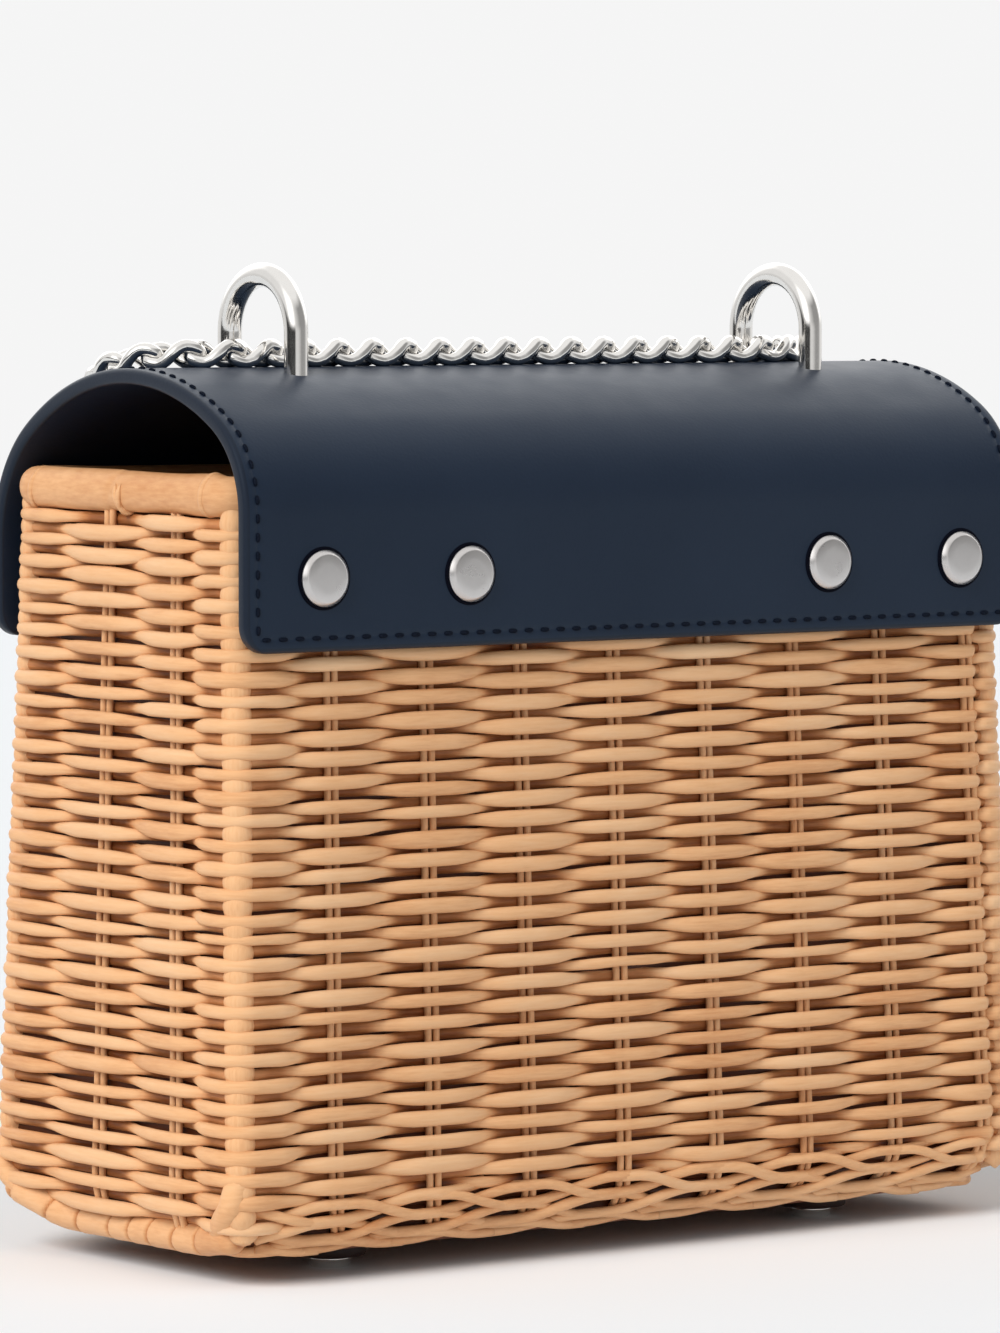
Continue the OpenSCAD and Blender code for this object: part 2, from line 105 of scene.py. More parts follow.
def taper(run, reach):
    """Share of the full radius along a rod that thins over a reach at both ends."""
    return THIN_END + (1 - THIN_END) * smooth(np.minimum(run - run[0], run[-1] - run) / reach)


def grid_faces(rings, sides, closed):
    faces = []
    for i in range(rings if closed else rings - 1):
        a, b = i * sides, (i + 1) % rings * sides
        faces += [[a + k, a + (k + 1) % sides, b + (k + 1) % sides, b + k] for k in range(sides)]
    return faces


def end_caps(rings, sides):
    return [list(range(sides))[::-1], [(rings - 1) * sides + k for k in range(sides)]]


def per_point(value, size):
    """A value for each point of a tube, from one value, one for each ring or one for each point."""
    value = np.asarray(value, float)
    if value.ndim == 1:
        value = value[:, None]
    return np.broadcast_to(value, size)


def frames(path, closed, up):
    """Two unit vectors across a path: one square to up, and one near it."""
    path = np.asarray(path, float)
    if closed:
        along = np.roll(path, -1, 0) - np.roll(path, 1, 0)
    else:
        along = np.gradient(path, axis=0)
    along /= np.linalg.norm(along, axis=1)[:, None]
    up = np.broadcast_to(np.asarray(up, float), path.shape)
    near_up = up - (up * along).sum(1)[:, None] * along
    near_up /= np.linalg.norm(near_up, axis=1)[:, None]
    return np.cross(near_up, along), near_up


def new_object(name, data):
    made = bpy.data.objects.new(name, data)
    bpy.context.scene.collection.objects.link(made)
    return made


class Build:
    """Collects the parts of one piece: points, faces, a tone for each point and a material for each face."""

    def __init__(self):
        self.points, self.faces, self.tones, self.slots = [], [], [], []
        self.count = 0

    def add(self, points, faces, tone=0.5, slot=0):
        points = np.asarray(points, float).reshape(-1, 3)
        self.points.append(points)
        self.faces.extend([[i + self.count for i in face] for face in faces])
        self.tones.append(np.broadcast_to(np.asarray(tone, float), (len(points),)))
        self.slots.extend(np.broadcast_to(slot, (len(faces),)).tolist())
        self.count += len(points)

    def tube(self, path, across, up, r_across, r_up, sides, closed=False, tone=0.5):
        """A tube around a path, with its two radii along two vectors."""
        path = np.asarray(path, float)
        size = (len(path), sides)
        turn = around(sides)
        points = (path[:, None] + (per_point(r_across, size) * np.cos(turn))[..., None] * across[:, None]
                  + (per_point(r_up, size) * np.sin(turn))[..., None] * up[:, None])
        faces = grid_faces(*size, closed)
        if not closed:
            faces += end_caps(*size)
        self.add(points, faces, per_point(tone, size).ravel())

    def rod(self, path, up, r_across, r_up, sides, tone=0.5):
        """A tube with two ends, whose second radius lies near up."""
        self.tube(path, *frames(path, False, up), r_across, r_up, sides, tone=tone)

    def lathe(self, profile, origin, axis, side, sides, slot=0):
        """Turns a profile of (radius, height) about an axis."""
        axis, side = np.asarray(axis, float), np.asarray(side, float)
        turn = around(sides)[:, None]
        ring = np.cos(turn) * side + np.sin(turn) * np.cross(axis, side)
        points = [np.asarray(origin) + height * axis + radius * ring for radius, height in profile]
        size = (len(profile), sides)
        self.add(np.array(points), grid_faces(*size, False) + end_caps(*size), slot=slot)

    def piece(self, name, *materials):
        mesh = bpy.data.meshes.new(name)
        mesh.from_pydata((np.concatenate(self.points) * MM).tolist(), [], self.faces)
        mesh.validate()
        mesh.polygons.foreach_set("use_smooth", [True] * len(mesh.polygons))
        for material in materials:
            mesh.materials.append(material)
        tones = mesh.attributes.new("tone", "FLOAT", "POINT")
        tones.data.foreach_set("value", np.concatenate(self.tones))
        if len(materials) > 1:
            mesh.polygons.foreach_set("material_index", self.slots)
        return new_object(name, mesh)


# Materials

class Tree:
    """The node tree of a material or world, with short ways to add nodes."""

    def __init__(self, owner):
        owner.use_nodes = True
        self.tree = owner.node_tree

    def node(self, kind, inputs=None, **settings):
        node = self.tree.nodes.new(kind)
        for key, value in settings.items():
            setattr(node, key, value)
        for key, value in (inputs or {}).items():
            if isinstance(value, bpy.types.NodeSocket):
                self.tree.links.new(value, node.inputs[key])
            else:
                node.inputs[key].default_value = value
        return node

    def math(self, operation, a, b=0.0, c=0.0):
        return self.node("ShaderNodeMath", {0: a, 1: b, 2: c}, operation=operation).outputs[0]

    def ramp(self, factor, *stops):
        """Colours by a factor, from stops of (place, colour)."""
        node = self.node("ShaderNodeValToRGB", {"Fac": factor})
        elements = node.color_ramp.elements
        while len(elements) < len(stops):
            elements.new(0.5)
        for element, (place, colour) in zip(elements, stops):
            element.position = place
            element.color = (*colour, 1)
        return node.outputs["Color"]


class Shader(Tree):
    """A material with a Principled shader."""

    def __init__(self, name):
        self.material = bpy.data.materials.new(name)
        super().__init__(self.material)
        self.principled = self.tree.nodes["Principled BSDF"]

    def set(self, **values):
        for key, value in values.items():
            self.principled.inputs[key.replace("_", " ")].default_value = value

    def link(self, name, socket):
        self.tree.links.new(socket, self.principled.inputs[name])

    def place(self, scale):
        where = self.node("ShaderNodeTexCoord").outputs["Object"]
        return self.node("ShaderNodeMapping", {"Vector": where, "Scale": scale}).outputs[0]

    def noise(self, scale, stretch=(1, 1, 1), detail=3.0, roughness=0.55):
        inputs = {"Vector": self.place(stretch), "Scale": scale, "Detail": detail, "Roughness": roughness}
        return self.node("ShaderNodeTexNoise", inputs).outputs["Fac"]

    def bump(self, height, strength, distance):
        inputs = {"Height": height, "Strength": strength, "Distance": distance}
        self.link("Normal", self.node("ShaderNodeBump", inputs).outputs[0])


WICKER_COLOURS = ((0.0, (0.07, 0.017, 0.004)), (0.2, (0.25, 0.072, 0.017)), (0.42, (0.53, 0.222, 0.080)),
                  (0.64, (0.735, 0.41, 0.20)), (0.88, (0.80, 0.52, 0.30)))


def wicker(name, streak):
    """Peeled willow: darker where the tone is low, with fine streaks and broad patches."""
    shader = Shader(name)
    tone = shader.node("ShaderNodeAttribute", attribute_name="tone").outputs["Fac"]
    fine = shader.noise(1.0, streak, 4.0, 0.6)
    broad = shader.noise(38.0, detail=2.0)
    patches = shader.math("MULTIPLY_ADD", broad, 0.22, shader.math("MULTIPLY", tone, 0.62))
    shader.link("Base Color", shader.ramp(shader.math("MULTIPLY_ADD", fine, 0.3, patches), *WICKER_COLOURS))
    shader.link("Roughness", shader.math("MULTIPLY_ADD", fine, 0.28, 0.36))
    shader.set(Specular_IOR_Level=0.33, Coat_Weight=0.06, Coat_Roughness=0.35)
    shader.bump(fine, 0.2, 0.0005)
    return shader.material


def leather(name, dark, light, roughness):
    """Smooth leather with fine pores and a slightly cloudy colour."""
    shader = Shader(name)
    shader.link("Base Color", shader.ramp(shader.noise(14.0, detail=4.0), (0.3, dark), (0.75, light)))
    pores = shader.node("ShaderNodeTexVoronoi", {"Vector": shader.place((1, 1, 1)), "Scale": 1500.0},
                        feature="SMOOTH_F1").outputs["Distance"]
    grain = shader.math("MULTIPLY_ADD", pores, 0.7, shader.math("MULTIPLY", shader.noise(700.0), 0.5))
    shader.link("Roughness", shader.math("MULTIPLY_ADD", shader.noise(90.0), 0.14, roughness))
    shader.set(Specular_IOR_Level=0.28, Specular_Tint=(0.74, 0.89, 1.0, 1.0))
    shader.bump(grain, 0.12, 0.00022)
    return shader.material


def metal(name, colour, smoothest, roughest):
    """Metal whose roughness and colour vary a little with wear."""
    shader = Shader(name)
    wear = shader.noise(160.0, detail=5.0, roughness=0.65)
    shader.link("Base Color", shader.ramp(wear, (0.3, tuple(0.93 * c for c in colour)), (0.7, colour)))
    shader.link("Roughness", shader.math("MULTIPLY_ADD", wear, roughest - smoothest, smoothest))
    shader.set(Metallic=1.0)
    shader.bump(shader.noise(900.0, detail=2.0), 0.03, 0.0001)
    return shader.material


def thread(name, colour):
    """Matt dark thread. The lip pressed up around a rivet has the same finish, in a near-black colour that is
    painted shade.
    """
    shader = Shader(name)
    twist = shader.noise(2600.0, detail=2.0)
    shader.link("Base Color", shader.ramp(twist, (0.3, tuple(0.6 * c for c in colour)), (0.7, colour)))
    shader.set(Roughness=0.75, Specular_IOR_Level=0.04)
    shader.bump(twist, 0.4, 0.0002)
    return shader.material


rod_mat = wicker("wicker_rods", (130, 130, 1500))
stake_mat = wicker("wicker_stakes", (1500, 1500, 130))
strand_mat = wicker("wicker_strands", (220, 220, 1100))
panel_mat = wicker("wicker_panel", (60, 900, 900))
cover_mat = leather("navy_leather", (0.0075, 0.0138, 0.029), (0.0108, 0.0188, 0.037), 0.38)
edge_mat = leather("edge_paint", (0.006, 0.009, 0.018), (0.009, 0.013, 0.024), 0.34)
foot_mat = leather("foot_leather", (0.024, 0.012, 0.009), (0.042, 0.022, 0.016), 0.42)
thread_mat = thread("navy_thread", (0.0075, 0.0105, 0.0195))
# The lip's near-black colour is painted shade for the shadow at the edge of a rivet's cap.
lip_shade_mat = thread("pressed_lip_shade", (0.003, 0.0035, 0.008))
nickel_mat = metal("polished_nickel", (0.82, 0.80, 0.77), 0.05, 0.15)
rivet_mat = metal("brushed_nickel", (0.64, 0.615, 0.60), 0.22, 0.36)
inner_metal_mat = metal("plain_steel", (0.62, 0.61, 0.60), 0.25, 0.42)

# CAD nodes that show as they are
INNER_METAL = ("rivet_washers", "basket_magnet", "magnet_washer", "loop_plates", "loop_nuts", "flap_magnet")
for part, material in [("base_panel", panel_mat)] + [(part, inner_metal_mat) for part in INNER_METAL]:
    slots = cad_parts[part].data.materials
    slots.clear()
    slots.append(material)


# The basket's form

def lean(z):
    """Share of the basket's height that lies above a level."""
    return (RIM_Z - z) / BASKET_H


def tuck(z):
    """How far the foot of the wall turns in at a level."""
    drop = np.clip(TURN_Z - z, 0, TURN_R)
    return TURN_R - np.sqrt(TURN_R ** 2 - drop ** 2)


def on_wall(core_x, core_y, angle, z, out):
    """A point of the wall: a point of the core rectangle, pushed out at an angle in degrees."""
    given = [np.asarray(q, float) for q in (core_x, core_y, angle, z, out)]
    core_x, core_y, angle, z, out = np.broadcast_arrays(*given)
    turn = np.radians(angle)
    x = core_x * (1 + (FLARE_L * lean(z) - tuck(z)) / CORE_L) + (CORNER_R + out) * np.cos(turn)
    y = core_y * (1 + (FLARE_D * lean(z) - tuck(z)) / CORE_D) + (CORNER_R + out) * np.sin(turn)
    return np.stack([x, y, z], -1)


def wall_frames(angle):
    """Unit vectors out of the wall and up, at angles in degrees."""
    turn = np.radians(angle)
    outward = np.stack([np.cos(turn), np.sin(turn), 0 * turn], -1)
    return outward, np.broadcast_to([0.0, 0.0, 1.0], outward.shape)


# Stops around the basket, from the corner at +X and +Y: each corner is a list of places, and so is each stake
stake_x = [((LONG_STAKES - 1) / 2 - i) * STAKE_PITCH - STAKES_OFF_X for i in range(LONG_STAKES)]
stake_y = [((END_STAKES - 1) / 2 - i) * STAKE_PITCH + STAKES_OFF_Y for i in range(END_STAKES)]
sides_of_wall = ([(x, CORE_D, 90) for x in stake_x], [(-CORE_L, y, 180) for y in stake_y],
                 [(x, -CORE_D, 270) for x in stake_x[::-1]], [(CORE_L, y, 360) for y in stake_y[::-1]])
corners = ((1, 1), (-1, 1), (-1, -1), (1, -1))
stops = []
for quarter, ((sx, sy), stakes_here) in enumerate(zip(corners, sides_of_wall)):
    stops.append([(sx * CORE_L, sy * CORE_D, 90 * quarter + turn) for turn in np.linspace(0, 90, 9)])
    stops += [[place] for place in stakes_here]
N_STOPS = len(stops)


def weave_path(step):
    """Points around the basket: core x and y, angle, and the count of stops passed."""
    points = []
    for j, here in enumerate(stops):
        points += [(*place, float(j)) for place in here]
        (x0, y0, angle), (x1, y1, _) = here[-1], stops[(j + 1) % N_STOPS][0]
        n = max(4, round(math.hypot(x1 - x0, y1 - y0) / step))
        points += [(x0 + (x1 - x0) * f, y0 + (y1 - y0) * f, angle, j + f) for f in np.arange(1, n) / n]
    return np.array(points).T


def chance(size):
    """One random value of about this size."""
    return size * rng.standard_normal()


def wander(size, count):
    """Random values of about this size at the stops, with smooth changes between them."""
    values = rng.standard_normal(N_STOPS)
    passed = np.floor(count).astype(int)
    f = smooth(count - passed)
    return size * (values[passed % N_STOPS] * (1 - f) + values[(passed + 1) % N_STOPS] * f)


# Weave: where a rod lies out from the wall's face, its half sizes, its points, how much it swells at the
# stakes, its shade behind them, and how the wave calms at the corners and on the lowest rows
ROD_MID, ROD_SWING, ROD_OUT, ROD_SIDES, ROD_STEP = -2.05, 1.9, 1.2, 12, 2.1
ROD_UP, SWELL_OVER, SWELL_BEHIND = 1.22, 0.43, 0.2
ROD_TONE, SHADE_BEHIND, SHADE_FROM, SHADE_SPAN = 0.65, 0.6, -0.1, 0.85
CORNER_CALM, CORNER_REACH, LONG_SIDE_BLEND = 0.4, 9, 14
# How uneven the rods are along their length, and from row to row
UNEVEN_SWING, UNEVEN_LIFT, UNEVEN_GIRTH, UNEVEN_TONE = 0.06, 0.28, 0.1, 0.07
ROW_LIFT, ROW_GIRTH, ROW_TONE = 0.1, 0.03, 0.04
# Rows below this one lie behind the border on the long sides
FIRST_ROW = 3

weave_x, weave_y, weave_angle, weave_count = weave_path(ROD_STEP)
outward, upward = wall_frames(weave_angle)
into_long_side = smooth((CORE_L - np.abs(weave_x)) / LONG_SIDE_BLEND)
by_corner = smooth(1 - np.hypot(CORE_L - np.abs(weave_x), CORE_D - np.abs(weave_y)) / CORNER_REACH)
facing_out = (1 + np.cos(around(ROD_SIDES))) / 2


def weave_rows(build, rows):
    """Rods that lie over one stake and behind the next, thickest over a stake and thinnest in between."""
    for k in rows:
        wave = np.cos(np.pi * (weave_count + k))
        wave = wave * (1.5 - 0.5 * wave ** 2) * (1 - CORNER_CALM * by_corner)
        if k < FIRST_ROW:
            behind = -0.5 - 0.5 * np.cos(2 * np.pi * weave_count) if k == FIRST_ROW - 1 else -1.0
            wave = wave * (1 - into_long_side) + behind * into_long_side
        swing = ROD_SWING * (1 + wander(UNEVEN_SWING, weave_count))
        lift = wander(UNEVEN_LIFT, weave_count) + chance(ROW_LIFT)
        girth = 1 + wander(UNEVEN_GIRTH, weave_count) + chance(ROW_GIRTH)
        tone = ROD_TONE + chance(ROW_TONE) + wander(UNEVEN_TONE, weave_count)
        shade = SHADE_BEHIND * smooth((SHADE_FROM - wave) / SHADE_SPAN)
        tone = tone[:, None] - shade[:, None] * facing_out[None]
        if k < FIRST_ROW:
            tone = tone - (SHADE_BEHIND * into_long_side * behind ** 2)[:, None]
        path = on_wall(weave_x, weave_y, weave_angle, WALL_Z0 + k * ROW_STEP + lift, ROD_MID + swing * wave)
        tall = girth * (ROD_UP + SWELL_OVER * smooth(wave) + SWELL_BEHIND * smooth(-wave))
        build.tube(path, outward, upward, ROD_OUT * girth, tall, ROD_SIDES, True, tone)


def weave_piece(build, name):
    weave = build.piece(name, rod_mat)
    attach(weave, "basket")
    return weave


THIRD = ROWS // 3
build = Build()
weave_rows(build, range(0, THIRD))
weave_piece(build, "weave_lower")

# The middle of the weave holds the plain inner face that closes the wall behind the stakes
SKIN_OUT, SKIN_IN, SKIN_FOOT, SKIN_HEAD = -3.6, -4.3, 2.5, 2
# The skin's outer face has painted shade: a dark tone for the shadow inside the wall, seen through the gaps
# of the weave; its inner face keeps the cane's own tone.
SKIN_PAINTED_SHADE, SKIN_TONE_IN = -0.55, 0.5
build = Build()
weave_rows(build, range(THIRD, 2 * THIRD))
levels = np.r_[np.linspace(BASE_Z + SKIN_FOOT, TURN_Z, 8), np.linspace(TURN_Z, WALL_Z1 + SKIN_HEAD, 14)[1:]]
skin = np.stack([on_wall(weave_x, weave_y, weave_angle, z, SKIN_OUT) for z in levels]
                + [on_wall(weave_x, weave_y, weave_angle, z, SKIN_IN) for z in levels[::-1]], 1)
skin_shade_and_tone = np.repeat([SKIN_PAINTED_SHADE, SKIN_TONE_IN], len(levels))
build.add(skin, grid_faces(len(weave_x), 2 * len(levels), True), np.tile(skin_shade_and_tone, len(weave_x)))
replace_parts(weave_piece(build, "weave_middle"), "woven_walls")

build = Build()
weave_rows(build, range(2 * THIRD, ROWS))
weave_piece(build, "weave_upper")

# Stakes in pairs, and a thick post at each corner that swells between the rods
STAKE_Z0, POST_Z0, STAKE_Z1 = 8.5, 12, 168
STAKE_R, STAKE_SPREAD, STAKE_SIDES, STAKE_TONE, STAKE_TONE_UNEVEN = 0.8, 1.0, 10, 0.6, 0.08
STAKE_OFF, STAKE_WAVE, STAKE_WAVE_L, PHASE_SPREAD = 0.12, 0.1, 9, 6
POST_R_ACROSS, POST_R_OUT, POST_OUT, POST_SIDES, POST_TONE = 3.1, 3.0, -3.2, 20, 0.66
KNOB_ACROSS, KNOB_OUT, POST_WAVE, POST_WAVE_L = 0.22, 0.25, 0.15, 11
stake_z = np.linspace(STAKE_Z0, STAKE_Z1, 48)
post_z = np.linspace(POST_Z0, STAKE_Z1, 320)


def heading(angle):
    """Unit vector at an angle in degrees about the vertical."""
    return np.array([math.cos(math.radians(angle)), math.sin(math.radians(angle)), 0.0])


build = Build()
for j, here in enumerate(stops):
    x, y, angle = here[0]
    if len(here) == 1:
        out = heading(angle)
        for side in (-STAKE_SPREAD, STAKE_SPREAD):
            bend = ROD_MID + chance(STAKE_OFF)
            bend = bend + STAKE_WAVE * np.sin(stake_z / STAKE_WAVE_L + PHASE_SPREAD * rng.random())
            path = on_wall(x - side * out[1], y + side * out[0], angle, stake_z, bend)
            build.rod(path, out, STAKE_R, STAKE_R, STAKE_SIDES, STAKE_TONE + chance(STAKE_TONE_UNEVEN))
    else:
        angle += 45
        knob = np.cos(np.pi * ((post_z - WALL_Z0) / ROW_STEP + j + 1))
        path = on_wall(x, y, angle, post_z, POST_OUT + POST_WAVE * np.sin(post_z / POST_WAVE_L))
        build.rod(path, heading(angle), POST_R_ACROSS + KNOB_ACROSS * knob, POST_R_OUT + KNOB_OUT * knob,
                  POST_SIDES, POST_TONE)
stakes = build.piece("stakes", stake_mat)
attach(stakes, "basket")

# Rim: a thick cane on each side, drawn in at the corners, with a joint at the middle of the ends
ROLL_R = RIM_H / (1 + math.sin(math.radians(ROLL_FLAT)))
ROLL_Z = WALL_Z1 + ROLL_R * math.sin(math.radians(ROLL_FLAT))
ROLL_OUT = WEAVE_DEPTH - RIM_W / 2
RIM_SIDES, RIM_STEP, RIM_TONE = 24, 0.9, 0.5
RIM_UNEVEN, RIM_LIFT, RIM_TONE_UNEVEN = 0.02, 0.15, 0.06
CORNER_PINCH, PINCH_ANGLE = 0.1, 30
POST_SWELL, POST_SWELL_AT, POST_SWELL_W = 0.03, 5, 6
JOINT_Y, JOINT_SLANT, JOINT_TURN, JOINT_DEPTH, JOINT_W, JOINT_STEP = -1.5, 2.2, 0.5, 0.09, 0.55, 1.03
NO_JOINT, ON_LINE = 1000.0, 0.01
build = Build()
rim_x, rim_y, rim_angle, rim_count = weave_path(RIM_STEP)
into_corner = np.minimum(np.abs(rim_angle % 90), 90 - np.abs(rim_angle % 90))
to_post = np.hypot(CORE_L - np.abs(rim_x), CORE_D - np.abs(rim_y))
swell = 1 + wander(RIM_UNEVEN, rim_count) - CORNER_PINCH * smooth(into_corner / PINCH_ANGLE)
swell += POST_SWELL * np.exp(-((to_post - POST_SWELL_AT) / POST_SWELL_W) ** 2)
on_end = np.abs(np.abs(rim_x) - CORE_L) < ON_LINE
past_joint = np.where(on_end, rim_y, NO_JOINT)[:, None] - JOINT_Y
past_joint = past_joint - JOINT_SLANT * np.sin(around(RIM_SIDES) - JOINT_TURN)
overlap = np.where((past_joint < 0) & on_end[:, None], JOINT_STEP, 1.0)
section = swell[:, None] * (1 - JOINT_DEPTH * np.exp(-(past_joint / JOINT_W) ** 2)) * overlap
middle = on_wall(rim_x, rim_y, rim_angle, ROLL_Z + wander(RIM_LIFT, rim_count), ROLL_OUT)
rim_tone = RIM_TONE + wander(RIM_TONE_UNEVEN, rim_count)
build.tube(middle, *wall_frames(rim_angle), RIM_W / 2 * section, ROLL_R * section, RIM_SIDES, True, rim_tone)


def around_roll(sx, y, turn, clear):
    """Points around the rim's roll at one end of the basket."""
    return on_wall(sx * CORE_L, y, 0 if sx > 0 else 180, ROLL_Z + (ROLL_R + clear) * np.sin(turn),
                   ROLL_OUT + (RIM_W / 2 + clear) * np.cos(turn))


# Two lashes bind the joint, and a thin tie goes around the roll beside each corner
LASHES = ((-0.6, 3.0), (1.6, -1.2))
LASH_CLEAR, LASH_W, LASH_T, LASH_TAPER, LASH_TONE = 0.2, 0.8, 0.6, 0.5, 0.62
TIE_CLEAR, TIE_INSET, TIE_SWAY, TIE_T, TIE_W, TIE_TONE = 0.1, 2.5, 0.8, 0.45, 0.9, 0.55
THIN_SIDES = 8
turn = np.linspace(-0.62, 0.12, 16) * np.pi
thin = taper(turn, LASH_TAPER)
for sx in (1, -1):
    for lash_y, slant in LASHES:
        path = around_roll(sx, lash_y + slant * (turn - turn[0]) / (turn[-1] - turn[0]), turn, LASH_CLEAR)
        build.rod(path, (sx, 0, 0.3), LASH_W * thin, LASH_T * thin, THIN_SIDES, LASH_TONE)
turn = np.linspace(-0.8, 0.75, 24) * np.pi
for sx in (1, -1):
    for sy in (1, -1):
        path = around_roll(sx, sy * (CORE_D - TIE_INSET) + TIE_SWAY * np.sin(turn), turn, TIE_CLEAR)
        build.rod(path, (0, 1, 0), TIE_T, TIE_W, THIN_SIDES, TIE_TONE)
rim = build.piece("rim", strand_mat)
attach(rim, "basket")
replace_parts(rim, "rim_roll")

# Border of the long sides: strands that climb one level from stake to stake cross strands that sink one,
# in front of them and behind them in turn, so a lens-shaped gap opens at each stake between two levels
LEVEL_Z = np.array([7.3, 7.3, 9.5, 13.6, 17.6, 21.2])
LEVEL_FROM, LEVEL_TO, CLIMB_SPAN = -1.06, 2.45, 0.8
STRAND_R, STRAND_OUT, STRAND_SWING, STRAND_SIDES, SLANT = 1.18, -0.55, 0.8, 10, 3.5
STRAND_UNEVEN_X, STRAND_UNEVEN_Z, STRAND_UNEVEN_R, STRAND_UNEVEN_TONE = 0.6, 0.12, 0.06, 0.05
STRAND_TONE, DEEP_SHADE, DEEP_FROM, DEEP_SPAN = 0.6, 0.35, -1.6, 2
HIDE_TOP, HIDE_LEVEL, HIDE_SPAN = 2.8, 1.98, 0.4
HIDE_ENDS, HIDE_FROM_END, HIDE_REACH = 3.0, 8, 9
EXTRA_STRANDS, PAST_CORE, FEWEST_POINTS = 3, 2, 8
level = np.linspace(LEVEL_FROM, LEVEL_TO, 60)
whole = np.floor(level).astype(int)
climb = smooth((level - whole - 0.5) / CLIMB_SPAN + 0.5)
level_z = LEVEL_Z[whole + 2] * (1 - climb) + LEVEL_Z[whole + 3] * climb
hidden = smooth((level - HIDE_LEVEL) / HIDE_SPAN)
in_front = STRAND_SWING * np.sin(np.pi * level) * smooth(2 + 2 * level)
build = Build()
for sy, first_x in ((1, stake_x[0]), (-1, -stake_x[-1])):
    for way in (1, -1):
        for k in range(-EXTRA_STRANDS, LONG_STAKES + EXTRA_STRANDS):
            x = first_x - k * STAKE_PITCH - way * STAKE_PITCH * level + SLANT * (2 - level)
            x = sy * (x + chance(STRAND_UNEVEN_X))
            z = level_z + chance(STRAND_UNEVEN_Z)
            out = STRAND_OUT + way * in_front - HIDE_TOP * hidden
            out = out - HIDE_ENDS * smooth((np.abs(x) - CORE_L + HIDE_FROM_END) / HIDE_REACH)
            strand_r = STRAND_R * (1 + chance(STRAND_UNEVEN_R))
            tone = STRAND_TONE + chance(STRAND_UNEVEN_TONE)
            tone = tone - DEEP_SHADE * smooth((DEEP_FROM - out) / DEEP_SPAN)
            keep = np.abs(x) < CORE_L + PAST_CORE
            if keep.sum() < FEWEST_POINTS:
                continue
            path = on_wall(x, sy * CORE_D, 90 * sy, z, out)[keep]
            build.rod(path, (0, 0, 1), strand_r, strand_r, STRAND_SIDES, tone[keep])

# Rods that close the underside between the border and the base panel: dark with painted shade for the deep
# shadow under the border, but not where a corner shows them
UNDER_RODS = ((-2.3, 1.6), (-3.9, 1.4), (-5.4, 1.35))
UNDER_R_OUT, UNDER_R_UP, UNDER_STEP, UNDER_UNEVEN = 1.15, 1.25, 3.0, 0.1
UNDER_PAINTED_SHADE, SHOWN_TONE = -0.3, 0.55
SHOWN_X, SHOWN_Y, SHOWN_SPAN = 10, 6, 6
under_x, under_y, under_angle, under_count = weave_path(UNDER_STEP)
shown = (smooth((np.abs(under_x) - CORE_L + SHOWN_X) / SHOWN_SPAN)
         * smooth((np.abs(under_y) - CORE_D + SHOWN_Y) / SHOWN_SPAN))
under_shade_and_tone = UNDER_PAINTED_SHADE + (SHOWN_TONE - UNDER_PAINTED_SHADE) * shown
for out, up in UNDER_RODS:
    path = on_wall(under_x, under_y, under_angle, BASE_Z + up + wander(UNDER_UNEVEN, under_count), out)
    build.tube(path, *wall_frames(under_angle), UNDER_R_OUT, UNDER_R_UP, STRAND_SIDES, True, under_shade_and_tone)
border = build.piece("border", strand_mat)
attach(border, "basket")
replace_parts(border, "base_border")

# Wrapped rolls at the foot of the ends, and a bent rod at the foot of each corner post
WRAP_R, WRAP_OUT, WRAP_RISE, WRAP_SIDES, WRAP_TONE = 3.6, -2.3, 3.4, 22, 0.6
WRAP_PAST, WRAP_TURN, WRAP_TURN_FROM, WRAP_TURN_SPAN, WRAP_TAPER = 4, 62, 6, 10, 5
FAR_LIFT, FAR_FROM, FAR_SPAN = 6.0, 0.6 * CORE_D, 0.5 * CORE_D
NEAR_LIFT, NEAR_FROM, NEAR_SPAN = 1.5, 0.7 * CORE_D, 10
CUTS, CUT_STEP, CUT_SPREAD, CUT_START, CUT_SLANT, CUT_TURN = 12, 7.0, 9.0, -6, 1.3, 0.6
CREASE_W, CREASE_DEPTH, CREASE_SHADE = 0.5, 0.2, 0.5
LAP, LAP_L, LAP_TONE_UNEVEN = 0.06, 2.4, 0.05
HEEL_R, HEEL_FLAT, HEEL_THIN, HEEL_TIP, HEEL_TIP_FROM = 3.0, 0.9, 0.4, 1.4, 0.8
HEEL_Z, HEEL_DROP, HEEL_OUT, HEEL_BULGE, HEEL_END_OUT = 28, 19, -3.2, 1.7, 0.5
HEEL_ANGLE, HEEL_SWING, HEEL_IN, HEEL_IN_FROM = 45, 37, 5.0, 0.45
HEEL_SIDES, HEEL_TONE = 14, 0.62
build = Build()
